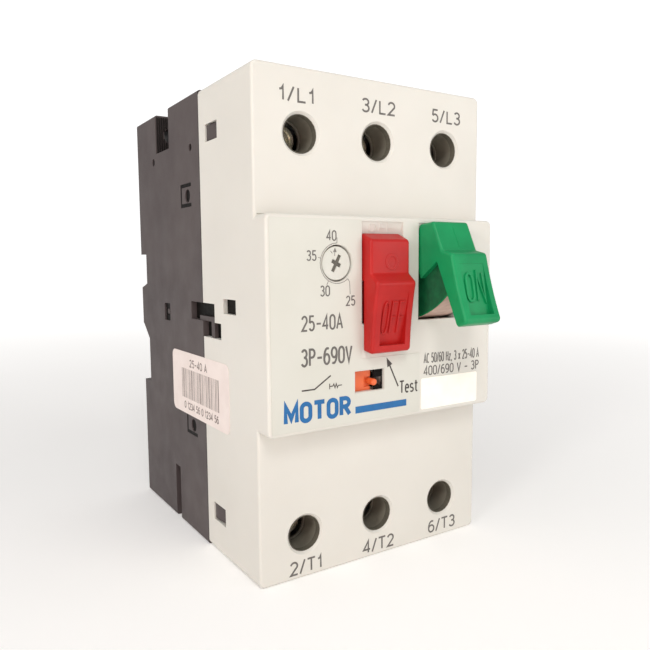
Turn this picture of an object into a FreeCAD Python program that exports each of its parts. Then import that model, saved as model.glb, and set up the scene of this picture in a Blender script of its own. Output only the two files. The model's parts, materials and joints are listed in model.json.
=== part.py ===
import FreeCAD, Part
import os
from math import acos, asin, cos, degrees, radians, sin

# Three-pole motor protection breaker with two rocker buttons, in millimetres.
# X runs to the right seen from the front, the front faces -Y and Z is up.
# The origin is on the rear mounting plane, at mid width and mid height.
# A "depth" is measured forwards from that plane, so it becomes -Y.

os.makedirs("parts", exist_ok=True)
Vec = FreeCAD.Vector

# ---- Overall sizes -------------------------------------------------------
width = 62.0
height = 108.5
baseDepth = 47.1            # rear plane to the parting line
caseDepth = 74.54           # rear plane to the main front face
noseProud = 4.91            # how far the nose stands out of the front face
noseLow = -20.7
noseHigh = 24.2
coverWall = 2.0
baseWall = 2.4
rearWall = 8.3
polePitch = 19.8
lineZ = 40.9                # height of the line terminal screws
loadZ = -44.5               # height of the load terminal screws

# ---- Clearances ----------------------------------------------------------
moveGap = 0.3               # between pieces that move past each other
runGap = 0.05               # radial, pin in hole
seatGap = 0.1               # between fixed pieces that sit side by side
skin = 0.12                 # thickness of a label

# ---- 35 mm rail seat -----------------------------------------------------
recessTop = 17.1
recessLow = -20.0
upperSeat = 4.6             # depth of the seat above the bump
lowerSeat = 5.3             # depth of the seat below the bump
bumpTop = 7.5
bumpLow = -3.1
bumpSlope = 4.2
railLip = 1.6               # slot that takes the rail's 1 mm lip
hookReach = 1.7             # how far the fixed hooks reach over the lip
railHookHalf = 14.0

# ---- Terminals -----------------------------------------------------------
accessRadius = 4.0          # screw access hole in the front face
accessChamfer = 0.55
screwHeadDepth = 66.2
screwHeadRadius = 3.3
screwHeadHeight = 3.0
screwRadius = 2.5
screwPitch = 0.8
screwTurns = 4.0
clampTravel = screwPitch * screwTurns
clampHalf = 5.3
clampSide = 1.1
clampWall = 2.4
clampFrontDepth = 58.6
clampRearDepth = 40.2
clampHigh = 5.0             # half of the clamp's height along Z
tailDepth = 53.0
tailThick = 1.5
tailHalf = 3.8
wireHalf = 4.6

# ---- Buttons -------------------------------------------------------------
buttonWidth = 10.7
offX = -2.35                # middle of the red button
onX = 13.45                 # middle of the green button
pivotDepth = 71.4
pivotZ = 24.2
pinRadius = 0.9
hubRadius = 1.9
rockAngle = 25.2            # travel of each button
openingLow = 1.2
openingHigh = 23.2
windowRadius = 7.9          # curved wall behind the upper edge of each button
windowWall = 2.0
windowLow = 20.3

# ---- Setting dial and test slider ---------------------------------------
dialX = -14.4
dialZ = 14.3
dialRadius = 3.55
dialSunk = 0.25
dialThick = 2.5
dialShaft = 1.9
slotX = (-9.9, -2.1)        # window of the test slider
slotZ = (-13.55, -8.95)
pegX = -4.9
pegZ = -11.7

# ---- Contact system ------------------------------------------------------
contactGap = 3.2
contactStop = 0.2           # what is left between closed contacts
lineContactZ = 25.0
loadContactZ = 5.0
armDepth = 21.5             # front of the fixed contact arms
armThick = 1.5
tipHeight = 1.4
deckDepth = 48.7
deckHalf = 31.0
leverX = 5.5                # middle plane of the mechanism
leverPinZ = -6.0
latchPinZ = -14.0
mechDepth = 60.0            # depth of the lever and latch pins
tripDepth = 45.0
tripZ = -28.0
tripRadius = 1.6
bimetalZ = -33.6
magnetZ = -20.2

# ---- Derived -------------------------------------------------------------
halfW = width / 2
halfH = height / 2
noseDepth = caseDepth + noseProud
poles = (-polePitch, 0.0, polePitch)
wallX = halfW - baseWall
wallZ = halfH - baseWall
coverX = halfW - coverWall
coverZ = halfH - coverWall
partitions = (-polePitch / 2, polePitch / 2)
tipFront = armDepth + tipHeight
bridgeRear = tipFront + contactGap + tipHeight
bridgeThick = 1.5
contactTravel = contactGap - contactStop


# ---- Helpers -------------------------------------------------------------
def block(x0, x1, d0, d1, z0, z1):
    """Box between two x values, two depths and two heights."""
    return Part.makeBox(x1 - x0, d1 - d0, z1 - z0, Vec(x0, -d1, z0))


def rodX(depth, z, radius, x0, x1):
    return Part.makeCylinder(radius, x1 - x0, Vec(x0, -depth, z), Vec(1, 0, 0))


def rodY(x, z, radius, d0, d1):
    return Part.makeCylinder(radius, d1 - d0, Vec(x, -d0, z), Vec(0, -1, 0))


def coneY(x, z, r0, r1, d0, d1):
    return Part.makeCone(r0, r1, d1 - d0, Vec(x, -d0, z), Vec(0, -1, 0))


def sideProfile(steps, x0, x1):
    """Solid between x0 and x1 from a closed outline of (depth, z) points.

    A step of four numbers is an arc through (depth, z) to the end point.
    """
    edges = []
    first = here = Vec(x0, -steps[0][0], steps[0][1])
    for step in steps[1:] + [steps[0]]:
        end = Vec(x0, -step[-2], step[-1])
        if len(step) == 4:
            middle = Vec(x0, -step[0], step[1])
            edges.append(Part.Arc(here, middle, end).toShape())
        elif end.distanceToPoint(here) > 1e-6:
            edges.append(Part.LineSegment(here, end).toShape())
        here = end
    if here.distanceToPoint(first) > 1e-6:
        edges.append(Part.LineSegment(here, first).toShape())
    return Part.Face(Part.Wire(edges)).extrude(Vec(x1 - x0, 0, 0))


def plateXY(points, z0, z1):
    """Solid between two heights from a closed outline of (x, depth) points."""
    corners = [Vec(x, -d, z0) for x, d in points]
    face = Part.Face(Part.makePolygon(corners + corners[:1]))
    return face.extrude(Vec(0, 0, z1 - z0))


def coil(radius, wire, turns, length, place, axis):
    """Helical spring of round wire, starting at place and running along axis."""
    path = Part.makeHelix(length / turns, length, radius)
    ring = Part.Wire(Part.makeCircle(wire, Vec(radius, 0, 0), Vec(0, 1, 0)))
    spring = Part.Wire(path).makePipeShell([ring], True, True)
    turn = FreeCAD.Rotation(Vec(0, 0, 1), axis)
    spring.Placement = FreeCAD.Placement(place, turn)
    return spring


def edgesAt(shape, direction, test):
    """Straight edges of a shape along a direction that pass a test."""
    found = []
    for edge in shape.Edges:
        if edge.Curve.TypeId != "Part::GeomLine":
            continue
        along = edge.Curve.Direction
        if abs(abs(along.dot(direction)) - 1) < 1e-6 and test(edge.CenterOfMass):
            found.append(edge)
    return found


def pivoted(shape, angle, depth, z):
    """Copy of a shape turned about an X axis at a depth and a height."""
    turned = shape.copy()
    turned.rotate(Vec(0, -depth, z), Vec(1, 0, 0), angle)
    return turned


def joined(*shapes):
    return shapes[0].multiFuse(list(shapes[1:])).removeSplitter()


def cutAll(shape, tools):
    return shape.cut(Part.makeCompound(tools)) if tools else shape


def save(name, *shapes):
    solids = [solid for shape in shapes for solid in shape.Solids]
    shape = solids[0] if len(solids) == 1 else Part.makeCompound(solids)
    if not shape.isValid():
        print("not valid:", name)
    shape.exportStep("parts/%s.step" % name)
    print("%-22s %2d solids %9.1f mm3" % (name, len(solids), shape.Volume))


# ---- Base ----------------------------------------------------------------
screwBossZ = (lineZ + 6.4, loadZ - 3.2)
bossRadius = 2.8
caseScrewRadius = 1.4
notchDepths = (16.4, 26.6)
notchZ = 44.0
notchWide = 9.0
panelHoleRadius = 2.2
panelHoleX = halfW - 4.6
panelHoleZ = halfH - 5.1
clipToScrew = 4.5           # from a case screw's axis to the side of the clip's channel
channelHalf = polePitch / 2 - clipToScrew
grooveReach = 1.1
grooveDepths = (2.1, 4.1)


def railRecess():
    outline = [(-1, recessTop), (upperSeat, recessTop), (upperSeat, bumpTop + 1.2), (0.3, bumpTop),
               (0, bumpTop), (0, bumpLow), (0.4, bumpLow), (lowerSeat, bumpLow - bumpSlope),
               (lowerSeat, recessLow), (-1, recessLow)]
    return sideProfile(outline, -halfW - 1, halfW + 1)


def railHooks():
    """Two fixed hooks that take the rail's upper lip."""
    low = recessTop - hookReach
    nearSide = upperSeat - railLip
    outline = [(0, recessTop + 1), (upperSeat, recessTop + 1), (upperSeat, recessTop),
               (nearSide, recessTop), (nearSide, low), (nearSide - 1.4, low), (0, recessTop - 0.4)]
    return [sideProfile(outline, x - 5, x + 5) for x in (-railHookHalf, railHookHalf)]


def sideDetails(sign):
    """Blind marks moulded into one side wall; sign is -1 for the left."""
    deep = 1.7
    def slab(d0, d1, z0, z1):
        low, high = sorted((sign * (halfW - deep), sign * (halfW + 1)))
        return block(low, high, d0, d1, z0, z1)
    def drill(depth, z, radius):
        low, high = sorted((sign * (halfW - deep), sign * (halfW + 1)))
        return rodX(depth, z, radius, low, high)
    cuts = [drill(14.0, 42.0, 1.0), drill(41.4, 42.1, 0.9), slab(24.6, 28.1, -halfH - 1, -39.9)]
    groove = 0.9
    for z0, z1 in ((28.2, 33.9), (-28.9, -23.2)):
        cuts.append(slab(34.2, 34.2 + groove, z0, z1))
        cuts.append(slab(34.2, 41.3, z1 - groove, z1))
        cuts.append(slab(34.2, 41.3, z0, z0 + groove))
        cuts.append(drill(38.9, (z0 + z1) / 2 - 0.2, 1.6))
    low, high = sorted((sign * (halfW - deep - 0.1), sign * (halfW - 0.4)))
    window = slab(19.5, 23.8, -0.8, 3.85).cut(rodX(21.6, 1.6, 0.75, low, high))
    return cuts + [window]


accessoryB = (46.8, 57.3, -2.8, 0.9)     # depths and heights of the lower side opening
accessoryA = (39.4, 53.8, accessoryB[3], 5.2)
ledgeHeight = 1.1
ledgeDepths = (43.7, 53.6)
dividerDepths = (50.7, 52.5)
sideSunk = 0.5              # the ledge and the divider stay this far below the side face


def accessoryCuts():
    """Stepped opening in the left side, across the parting line."""
    return [block(-halfW - 1, -halfW + baseWall + 1.2, *accessoryA),
            block(-halfW - 1, -halfW + baseWall + 1.2, *accessoryB)]


def snapTongue(sign, z0, z1):
    """Tongue behind the cover's wall, with a sloping catch that fills the side window."""
    inner = coverX - seatGap
    rear, front = snapDepths
    low, high = sorted((sign * inner, sign * (inner - tongueThick)))
    tongue = block(low, high, baseDepth - 4, front + 1.4, z0 + tongueGap, z1 - tongueGap)
    outline = [(inner - 0.3, rear), (halfW - catchSunk, rear), (halfW - catchSunk, rear + 1.4),
               (halfW - catchSunk - catchSlope, front), (inner - 0.3, front)]
    catch = plateXY([(sign * x, depth) for x, depth in outline], z0 + tongueGap, z1 - tongueGap)
    return [tongue, catch]


def makeBase():
    body = block(-halfW, halfW, 0, baseDepth, -halfH, halfH)
    body = body.makeFillet(0.5, edgesAt(body, Vec(0, 1, 0), lambda c: True))
    body = body.cut(block(-wallX, wallX, rearWall, baseDepth + 1, -wallZ, wallZ))
    adds = []
    for x in partitions:
        adds.append(block(x - 0.8, x + 0.8, rearWall - 1, baseDepth, -wallZ - 1, wallZ + 1))
        for z in screwBossZ:
            adds.append(rodY(x, z, bossRadius, rearWall - 1, baseDepth))
    near, far = notchDepths
    pocketWall = 1.6
    for sign in (-1, 1):
        x0, x1 = sorted((-sign * halfW, -sign * (halfW - notchWide - pocketWall)))
        z0, z1 = sorted((sign * (notchZ - pocketWall), sign * (halfH - 0.4)))
        housing = block(x0, x1, rearWall - 1, far + pocketWall, z0, z1)
        adds.append(housing.common(block(-halfW + 0.4, halfW - 0.4, 0, baseDepth, -halfH, halfH)))
    for sign in (-1, 1):
        for z0, z1 in snapSpans:
            adds += snapTongue(sign, z0, z1)
    body = joined(body, *adds)
    cuts = [railRecess()]
    cuts.append(block(-channelHalf, channelHalf, -1, lowerSeat, -halfH - 1, recessLow + 1))
    cuts.append(block(-channelHalf - grooveReach, channelHalf + grooveReach, *grooveDepths,
                      -halfH - 1, recessLow + 1))
    for sign in (-1, 1):
        x0, x1 = sorted((-sign * (halfW + 1), -sign * (halfW - notchWide)))
        z0, z1 = sorted((sign * notchZ, sign * (halfH + 1)))
        cuts.append(block(x0, x1, near, far, z0, z1))
        cuts.append(rodY(-sign * panelHoleX, sign * panelHoleZ, panelHoleRadius, -1, near + 1))
        cuts += sideDetails(sign)
    cuts += accessoryCuts()
    for x in partitions:
        for z in screwBossZ:
            cuts.append(rodY(x, z, caseScrewRadius + seatGap, -1, baseDepth + 1))
            cuts.append(rodY(x, z, 2.9, -1, 2.6))
        # gates for the contact carrier and the trip bar
        cuts.append(block(x - 1, x + 1, carrierRear - contactTravel - moveGap, baseDepth + 1,
                          carrierZ - carrierHalf - moveGap, carrierZ + carrierHalf + moveGap))
        gate = tripRadius + runGap
        cuts.append(rodX(tripDepth, tripZ, gate, x - 1, x + 1))
        cuts.append(block(x - 1, x + 1, tripDepth, baseDepth + 1, tripZ - gate, tripZ + gate))
    for x in poles:
        for z0, z1 in ((wallZ - 1, halfH + 1), (-halfH - 1, -wallZ + 1)):
            wireWay = (clampRearDepth + clampWall, baseDepth + 1)
            cuts.append(block(x - wireHalf, x + wireHalf, *wireWay, z0, z1))
    body = cutAll(body, cuts)
    body = body.multiFuse(railHooks() + [springLug()])
    sideX = (-halfW + sideSunk, -halfW + baseWall)
    divider = block(*sideX, baseDepth - 4, dividerDepths[1], *accessoryB[2:])
    divider = divider.cut(block(-halfW, -halfW + baseWall + 1, baseDepth - 5, dividerDepths[0],
                                accessoryB[2] - 1, accessoryB[3] + 1))
    ledge = block(*sideX, *ledgeDepths, accessoryA[2], accessoryA[2] + ledgeHeight)
    body = body.multiFuse([divider, ledge]).removeSplitter()
    save("base", body)


lugDepths = (0.9, lowerSeat + 0.5)
lugZ = (-42.0, -40.2)


def springLug():
    return block(-1.7, 1.7, *lugDepths, *lugZ)


# ---- Cover ---------------------------------------------------------------
snapDepths = (51.2, 57.0)
snapSpans = ((41.8, 45.7), (-46.5, -42.3))
midWindow = (58.8, 65.3, 3.3, 6.6)
windowMargin = 0.4          # between a catch and the ends of its window
tongueThick = 1.2
tongueGap = 0.3
catchSunk = 0.25            # how far the catch stays below the side face
catchSlope = 0.6
cornerRadius = 1.4
rimRadius = 0.6


pinEnds = (offX - buttonWidth / 2 - 2.3, onX + buttonWidth / 2 + 2.3)


def buttonOpening(x):
    half = buttonWidth / 2 + moveGap
    return block(x - half, x + half, pivotDepth - 3, noseDepth + 1, openingLow, openingHigh)


def windowWallShape(x):
    """Curved wall around the button pivot; it carries the state word."""
    half = buttonWidth / 2 + moveGap + 0.6
    def rim(radius, z):
        return (pivotDepth + (radius ** 2 - (pivotZ - z) ** 2) ** 0.5, z)
    top = openingHigh + 0.3
    middle = (openingHigh + windowLow) / 2
    inner = windowRadius - windowWall
    innerLow = pivotZ - inner * (pivotZ - windowLow) / windowRadius
    outline = [rim(windowRadius, top), rim(windowRadius, middle) + rim(windowRadius, windowLow),
               rim(inner, innerLow), rim(inner, (top + innerLow) / 2) + rim(inner, top)]
    return sideProfile(outline, x - half, x + half)


def pivotLugs():
    """Three ribs under the front wall that hold the button pivot pin."""
    half = buttonWidth / 2 + moveGap
    spans = ((pinEnds[0] - 0.3, offX - half), (offX + half, onX - half), (onX + half, pinEnds[1] + 0.3))
    ribs = []
    for x0, x1 in spans:
        rib = block(x0, x1, pivotDepth - 2.6, noseDepth - 1, pivotZ - 4.4, pivotZ + 3.4)
        ribs.append(rib.common(block(x0, x1, 0, caseDepth - 0.5, -halfH, halfH)
                               .fuse(block(x0, x1, 0, noseDepth - 0.5, noseLow, noseHigh - 0.5))))
    return ribs


def makeCover():
    shell = block(-halfW, halfW, baseDepth, caseDepth, -halfH, halfH)
    shell = shell.fuse(block(-halfW, halfW, caseDepth - 5, noseDepth, noseLow, noseHigh)).removeSplitter()
    shell = shell.makeFillet(cornerRadius, edgesAt(shell, Vec(0, 1, 0), lambda c: abs(c.x) > halfW - 1))

    def onRim(spot):
        besideNose = noseLow - 1 < spot.z < noseHigh + 1
        return abs(spot.y + noseDepth) < 0.05 or (abs(spot.y + caseDepth) < 0.05 and not besideNose)

    rims = [edge for edge in shell.Edges if onRim(edge.CenterOfMass)]
    shell = shell.makeFillet(rimRadius, rims)
    shell = shell.cut(block(-coverX, coverX, baseDepth - 1, caseDepth - coverWall, -coverZ, coverZ))
    shell = shell.cut(block(-coverX, coverX, baseDepth - 1, noseDepth - coverWall,
                            noseLow + coverWall, noseHigh - coverWall))
    bossTop = caseDepth - coverWall + 1
    adds = [rodY(dialX, dialZ, dialRadius + 1.4, noseDepth - 8.5, noseDepth - coverWall + 0.5)]
    adds += pivotLugs()
    for x in partitions:
        for z in screwBossZ:
            adds.append(rodY(x, z, bossRadius, baseDepth, bossTop))
    # guides behind the test slider and a post for its spring
    sliderFront = noseDepth - coverWall
    for z0, z1, lip0, lip1 in ((-15.9, -14.9, -15.9, -13.6), (-7.6, -6.6, -8.9, -6.6)):
        adds.append(block(-14.0, -1.2, sliderFront - 1.0, sliderFront + 0.5, z0, z1))
        adds.append(block(-14.0, -1.2, sliderFront - 2.0, sliderFront - 1.0, lip0, lip1))
    adds.append(block(*springPostX, sliderFront - 5.0, sliderFront + 0.5, pegZ - 1.4, pegZ + 1.4))
    shell = joined(shell, *adds)
    cuts = [buttonOpening(offX), buttonOpening(onX)]
    cuts.append(rodX(pivotDepth, pivotZ, pinRadius, pinEnds[0] - seatGap, pinEnds[1] + seatGap))
    for x in (offX, onX):
        half = buttonWidth / 2 + moveGap
        cuts.append(rodX(pivotDepth, pivotZ, hubRadius + moveGap, x - half, x + half))
    dialSeat = noseDepth - dialSunk - dialThick - 0.2
    cuts.append(rodY(dialX, dialZ, dialRadius + moveGap, dialSeat, noseDepth + 1))
    cuts.append(rodY(dialX, dialZ, dialShaft + runGap, noseDepth - 10, noseDepth))
    cuts.append(block(slotX[0], slotX[1], noseDepth - 4, noseDepth + 1, slotZ[0], slotZ[1]))
    cuts.append(block(-14.9, -1.2, sliderFront - 0.1, sliderFront + 0.9, -14.9, -7.6))
    for x in poles:
        for z in (lineZ, loadZ):
            cuts.append(rodY(x, z, accessRadius, caseDepth - 6, caseDepth + 1))
            cuts.append(coneY(x, z, accessRadius, accessRadius + accessChamfer + 0.05,
                              caseDepth - accessChamfer, caseDepth + 0.05))
        for z0, z1 in ((wallZ - 1, halfH + 1), (-halfH - 1, -wallZ + 1)):
            cuts.append(block(x - wireHalf, x + wireHalf, baseDepth - 1, tailDepth - tailThick, z0, z1))
    for x in partitions:
        for z in screwBossZ:
            cuts.append(rodY(x, z, caseScrewRadius, baseDepth - 1, caseDepth - 4))
    for sign in (-1, 1):
        x0, x1 = sorted((sign * (coverX - 0.5), sign * (halfW + 1)))
        for z0, z1 in snapSpans:
            cuts.append(block(x0, x1, snapDepths[0] - windowMargin, snapDepths[1] + windowMargin, z0, z1))
        cuts.append(block(x0, x1, *midWindow))
    cuts += accessoryCuts()
    shell = cutAll(shell, cuts)
    shell = shell.multiFuse([windowWallShape(offX), windowWallShape(onX)]).removeSplitter()
    save("cover", shell)


# ---- Buttons -------------------------------------------------------------
topRearZ = 20.6                 # where the sloping top meets the curved back
upperTop = (82.2, 19.2)         # corners of the outside, depth and z
upperFoot = (82.2, 12.1)
plateFront = (84.6, 10.2)
plateFoot = (82.7, -5.2)
plateMiddle = (83.3, 2.5)
backGap = 0.3
skirtRear = 73.4
coreInset = 1.3
coreRadius = 23.3
coreEnd = 102.0                 # angle of the core's rear corner below the front
hubAngle = 58.0                 # the arm leaves the hub this far below the front
frameRim = 1.35
edgeRound = 0.7


def onArc(radius, angle):
    """Point at an angle below the forward direction, about the pivot."""
    turn = radians(angle)
    return (pivotDepth + radius * cos(turn), pivotZ - radius * sin(turn))


def makeButton(x, drop):
    """Rocker button in its pressed-in place, hung on the pivot pin.

    The outside is lower by drop; the hub and the curved back stay on the pivot.
    """
    half = buttonWidth / 2
    backRadius = windowRadius + backGap
    backPlane = noseDepth + backGap
    topAngle = degrees(asin((pivotZ - topRearZ + drop) / backRadius))
    low = Vec(0, 0, -drop)

    def lowered(*numbers):
        return tuple(n - drop if i % 2 else n for i, n in enumerate(numbers))

    outer = [onArc(backRadius, topAngle), lowered(*upperTop), lowered(*upperFoot), lowered(*plateFront),
             lowered(*plateMiddle, *plateFoot), lowered(backPlane, plateFoot[1] + 0.4),
             lowered(backPlane, 10.6), lowered(skirtRear, 9.4),
             (skirtRear, 14.6), onArc(backRadius, hubAngle),
             onArc(backRadius, (topAngle + hubAngle) / 2) + onArc(backRadius, topAngle)]
    solid = sideProfile(outer, x - half, x + half)
    for corner, radius in ((upperTop, 0.9), (upperFoot, 0.5), (plateFront, 1.0), (plateFoot, 1.0)):
        place = Vec(x, -corner[0], corner[1]) + low
        solid = solid.makeFillet(radius, edgesAt(solid, Vec(1, 0, 0),
                                                 lambda c: c.distanceToPoint(place) < 0.05))
    front = [edge for edge in solid.Edges
             if edge.CenterOfMass.y < -backPlane - 0.3 and abs(edge.CenterOfMass.x - x) > half - 0.01]
    solid = solid.makeFillet(edgeRound, front)
    # wedge pocket in the finger plate, deepest at its lower end
    pocket = sideProfile([lowered(90, 8.0), lowered(84.1, 8.0), lowered(81.4, -3.4), lowered(90, -3.4)],
                         x - half + frameRim + 0.5, x + half - frameRim - 0.5)
    solid = solid.cut(pocket)
    # core that closes the opening while the button swings
    toe = onArc(coreRadius, degrees(acos((backPlane + 0.5 - pivotDepth) / coreRadius)))
    rear = onArc(coreRadius, coreEnd)
    middle = onArc(coreRadius, 82.0)
    core = [toe, middle + rear, (rear[0], 11.0), (skirtRear + 0.5, 14.0), (backPlane + 0.5, 14.0)]
    coreSolid = sideProfile(core, x - half + coreInset, x + half - coreInset)
    coreSolid = coreSolid.cut(sideProfile([(68, 4.0), (78.2, 4.0), (78.2, 9.0), (68, 9.0)],
                                          x - half + coreInset + 1.6, x + half - coreInset - 1.6))
    arm = [onArc(hubRadius * 0.5, hubAngle), onArc(backRadius, hubAngle), (skirtRear + 0.4, 12.0),
           (rear[0], 10.5), (rear[0], 14.0), onArc(hubRadius, 130.0)]
    armSolid = sideProfile(arm, x - half + coreInset, x + half - coreInset)
    hub = rodX(pivotDepth, pivotZ, hubRadius, x - half, x + half)
    solid = joined(solid, coreSolid, armSolid, hub)
    return solid.cut(rodX(pivotDepth, pivotZ, pinRadius + runGap, x - half - 1, x + half + 1))


greenDrop = 1.03                # the green button's outside sits this much lower


def makeButtons():
    save("off_button", makeButton(offX, 0.0))
    # the green button rests rocked out by its whole travel
    green = pivoted(makeButton(onX, greenDrop), -rockAngle, pivotDepth, pivotZ)
    save("on_button", green)
    save("button_pin", rodX(pivotDepth, pivotZ, pinRadius, *pinEnds))


# ---- Setting dial and test slider ---------------------------------------
def makeDial():
    front = noseDepth - dialSunk
    disc = rodY(dialX, dialZ, dialRadius, front - dialThick, front)
    disc = disc.makeFillet(0.2, [e for e in disc.Edges if abs(e.CenterOfMass.y + front) < 0.01])
    shaft = rodY(dialX, dialZ, dialShaft, noseDepth - 12.5, front - dialThick + 0.5)
    cam = rodY(dialX + 0.9, dialZ, dialShaft + 1.6, noseDepth - 13.5, noseDepth - 11.5)
    dial = joined(disc, shaft, cam)
    slots = []
    for length, wide, angle in ((3.9, 0.85, 28.0), (2.4, 0.85, -62.0)):
        bar = block(dialX - wide / 2, dialX + wide / 2, front - 1.1, front + 1,
                    dialZ - length / 2, dialZ + length / 2)
        bar.rotate(Vec(dialX, 0, dialZ), Vec(0, 1, 0), angle)
        slots.append(bar)
    tip = Vec(dialX - 0.3, -front - 1, dialZ + 3.3)
    left = Vec(dialX - 0.75, -front - 1, dialZ + 2.35)
    right = Vec(dialX + 0.15, -front - 1, dialZ + 2.35)
    head = Part.Face(Part.makePolygon([tip, left, right, tip])).extrude(Vec(0, 1.35, 0))
    save("setting_dial", cutAll(dial, slots + [head]))


sliderPlateDepths = (noseDepth - 2.5, noseDepth - 1.35)
springPostX = (-1.2, 0.2)
sliderStemX = (-8.3, -6.3)


def makeTestSlider():
    d0, d1 = sliderPlateDepths
    plate = block(-13.9, pegX, d0, d1, -14.5, -8.0)
    plate = plate.cut(block(pegX - 1.7, pegX + 1, d0 - 1, d1 + 1, pegZ - 1.15, pegZ + 1.15))
    tab = block(pegX - 1.9, pegX + 0.4, d0, d0 + 0.5, pegZ - 1.15, pegZ + 1.15)
    peg = rodY(pegX, pegZ, 0.75, d0, noseDepth + 0.35)
    peg = peg.makeFillet(0.3, [e for e in peg.Edges if abs(e.CenterOfMass.y + noseDepth + 0.35) < 0.01])
    stem = block(*sliderStemX, 57.0, d0 + 0.1, pegZ - 1.0, pegZ + 1.0)
    save("test_slider", joined(plate, tab, peg, stem))
    start = sliderStemX[1]
    axisDepth = noseDepth - coverWall - 3.6
    length = springPostX[0] - start
    save("test_spring", coil(1.0, 0.18, 5, length - 0.4,
                             Vec(start + 0.2, -axisDepth, pegZ), Vec(1, 0, 0)))


# ---- Terminals -----------------------------------------------------------
def makeScrew(x, z):
    base = screwHeadDepth - screwHeadHeight
    head = rodY(x, z, screwHeadRadius, base, screwHeadDepth)
    head = head.makeChamfer(0.35, [e for e in head.Edges if abs(e.CenterOfMass.y + screwHeadDepth) < 0.01])
    tip = tailDepth + seatGap
    shank = rodY(x, z, screwRadius, tip, base + 0.5)
    shank = shank.makeChamfer(0.5, [e for e in shank.Edges if abs(e.CenterOfMass.y + tip) < 0.01])
    ring = rodY(x, z, 2.3, screwHeadDepth - 0.35, screwHeadDepth + 1).cut(
        rodY(x, z, 1.7, screwHeadDepth - 1, screwHeadDepth + 2))
    screw = joined(head, shank).cut(ring)
    slot = 1.9
    cuts = [block(x - slot, x + slot, screwHeadDepth - 1.4, screwHeadDepth + 1, z - 0.45, z + 0.45),
            block(x - 0.45, x + 0.45, screwHeadDepth - 1.4, screwHeadDepth + 1, z - slot, z + slot)]
    return cutAll(screw, cuts)


def makeClamp(x, z):
    inside = clampHalf - clampSide
    cage = block(x - clampHalf, x + clampHalf, clampRearDepth, clampFrontDepth,
                 z - clampHigh, z + clampHigh)
    window = block(x - inside, x + inside, clampRearDepth + clampWall, clampFrontDepth - clampWall,
                   z - clampHigh - 1, z + clampHigh + 1)
    cage = cage.cut(window)
    cage = cage.makeFillet(0.6, edgesAt(cage, Vec(0, 0, 1), lambda c: abs(c.x - x) > clampHalf - 0.01))
    return cage.cut(rodY(x, z, screwRadius + runGap, clampFrontDepth - 4, clampFrontDepth + 1))


shroudHalf = 5.8


def makeShroud(z, name):
    """Insulating insert with a screw chimney behind each access hole."""
    rear = caseDepth - coverWall - seatGap
    plate = block(-coverX + 0.4, coverX - 0.4, rear - 1.4, rear, z - shroudHalf, z + shroudHalf)
    parts = [plate]
    chimneyEnd = 67.4
    lipEnd = 66.9
    cuts = []
    for x in poles:
        parts.append(rodY(x, z, accessRadius + 1.1, lipEnd, rear - 0.7))
        cuts.append(rodY(x, z, accessRadius - 0.02, chimneyEnd, caseDepth))
        cuts.append(rodY(x, z, screwHeadRadius + moveGap, lipEnd - 1, caseDepth))
    for x in partitions:
        for bossZ in screwBossZ:
            cuts.append(rodY(x, bossZ, bossRadius + 0.2, lipEnd - 5, caseDepth))
    save(name, cutAll(joined(*parts), cuts))


def makeTerminals():
    for row, z in (("line", lineZ), ("load", loadZ)):
        for number, x in enumerate(poles, 1):
            save("%s_screw_%d" % (row, number), makeScrew(x, z))
            save("%s_clamp_%d" % (row, number), makeClamp(x, z))
        makeShroud(z, row + "_shroud")


# ---- Current path --------------------------------------------------------
lineCrossZ = 33.0               # height where the line bars run to the rear
loadArmEnd = -10.5


def makeConductors():
    half = tailHalf
    t = armThick
    lineBars = []
    loadArms = []
    loadTails = []
    for x in poles:
        lineBars.append(joined(
            block(x - half, x + half, tailDepth - tailThick, tailDepth, lineCrossZ, lineZ + 4.4),
            block(x - half, x + half, armDepth - t, tailDepth, lineCrossZ - t, lineCrossZ),
            block(x - half, x + half, armDepth - t, armDepth, lineContactZ - 2.6, lineCrossZ)))
        loadArms.append(joined(
            block(x - half, x + half, armDepth - t, armDepth, loadArmEnd, loadContactZ + 2.6),
            block(x - half, x + half, armDepth - t, armDepth + 1.2, loadArmEnd - t, loadArmEnd)))
        loadTails.append(joined(
            block(x - half, x + half, tailDepth - tailThick, tailDepth, loadZ - 4.4, -38.2),
            block(x - half, x + half, bimetalFoot - 2.0, tailDepth, -38.2, -38.2 + 1.2),
            block(x - half, x + half, bimetalFoot - 2.0, bimetalFoot - 0.5, -37.5, bimetalZ + 2.4)))
    save("line_busbars", *lineBars)
    save("load_contact_arms", *loadArms)
    save("load_busbars", *loadTails)
    tips = []
    for x in poles:
        for z in (lineContactZ, loadContactZ):
            tip = rodY(x, z, 2.0, armDepth, tipFront)
            rim = [edge for edge in tip.Edges if abs(edge.CenterOfMass.y + tipFront) < 0.01]
            tips.append(tip.makeFillet(0.4, rim))
    save("fixed_contacts", *tips)


carrierZ = (lineContactZ + loadContactZ) / 2
carrierHalf = 3.4
carrierRear = 36.0
carrierFront = 40.0


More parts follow.
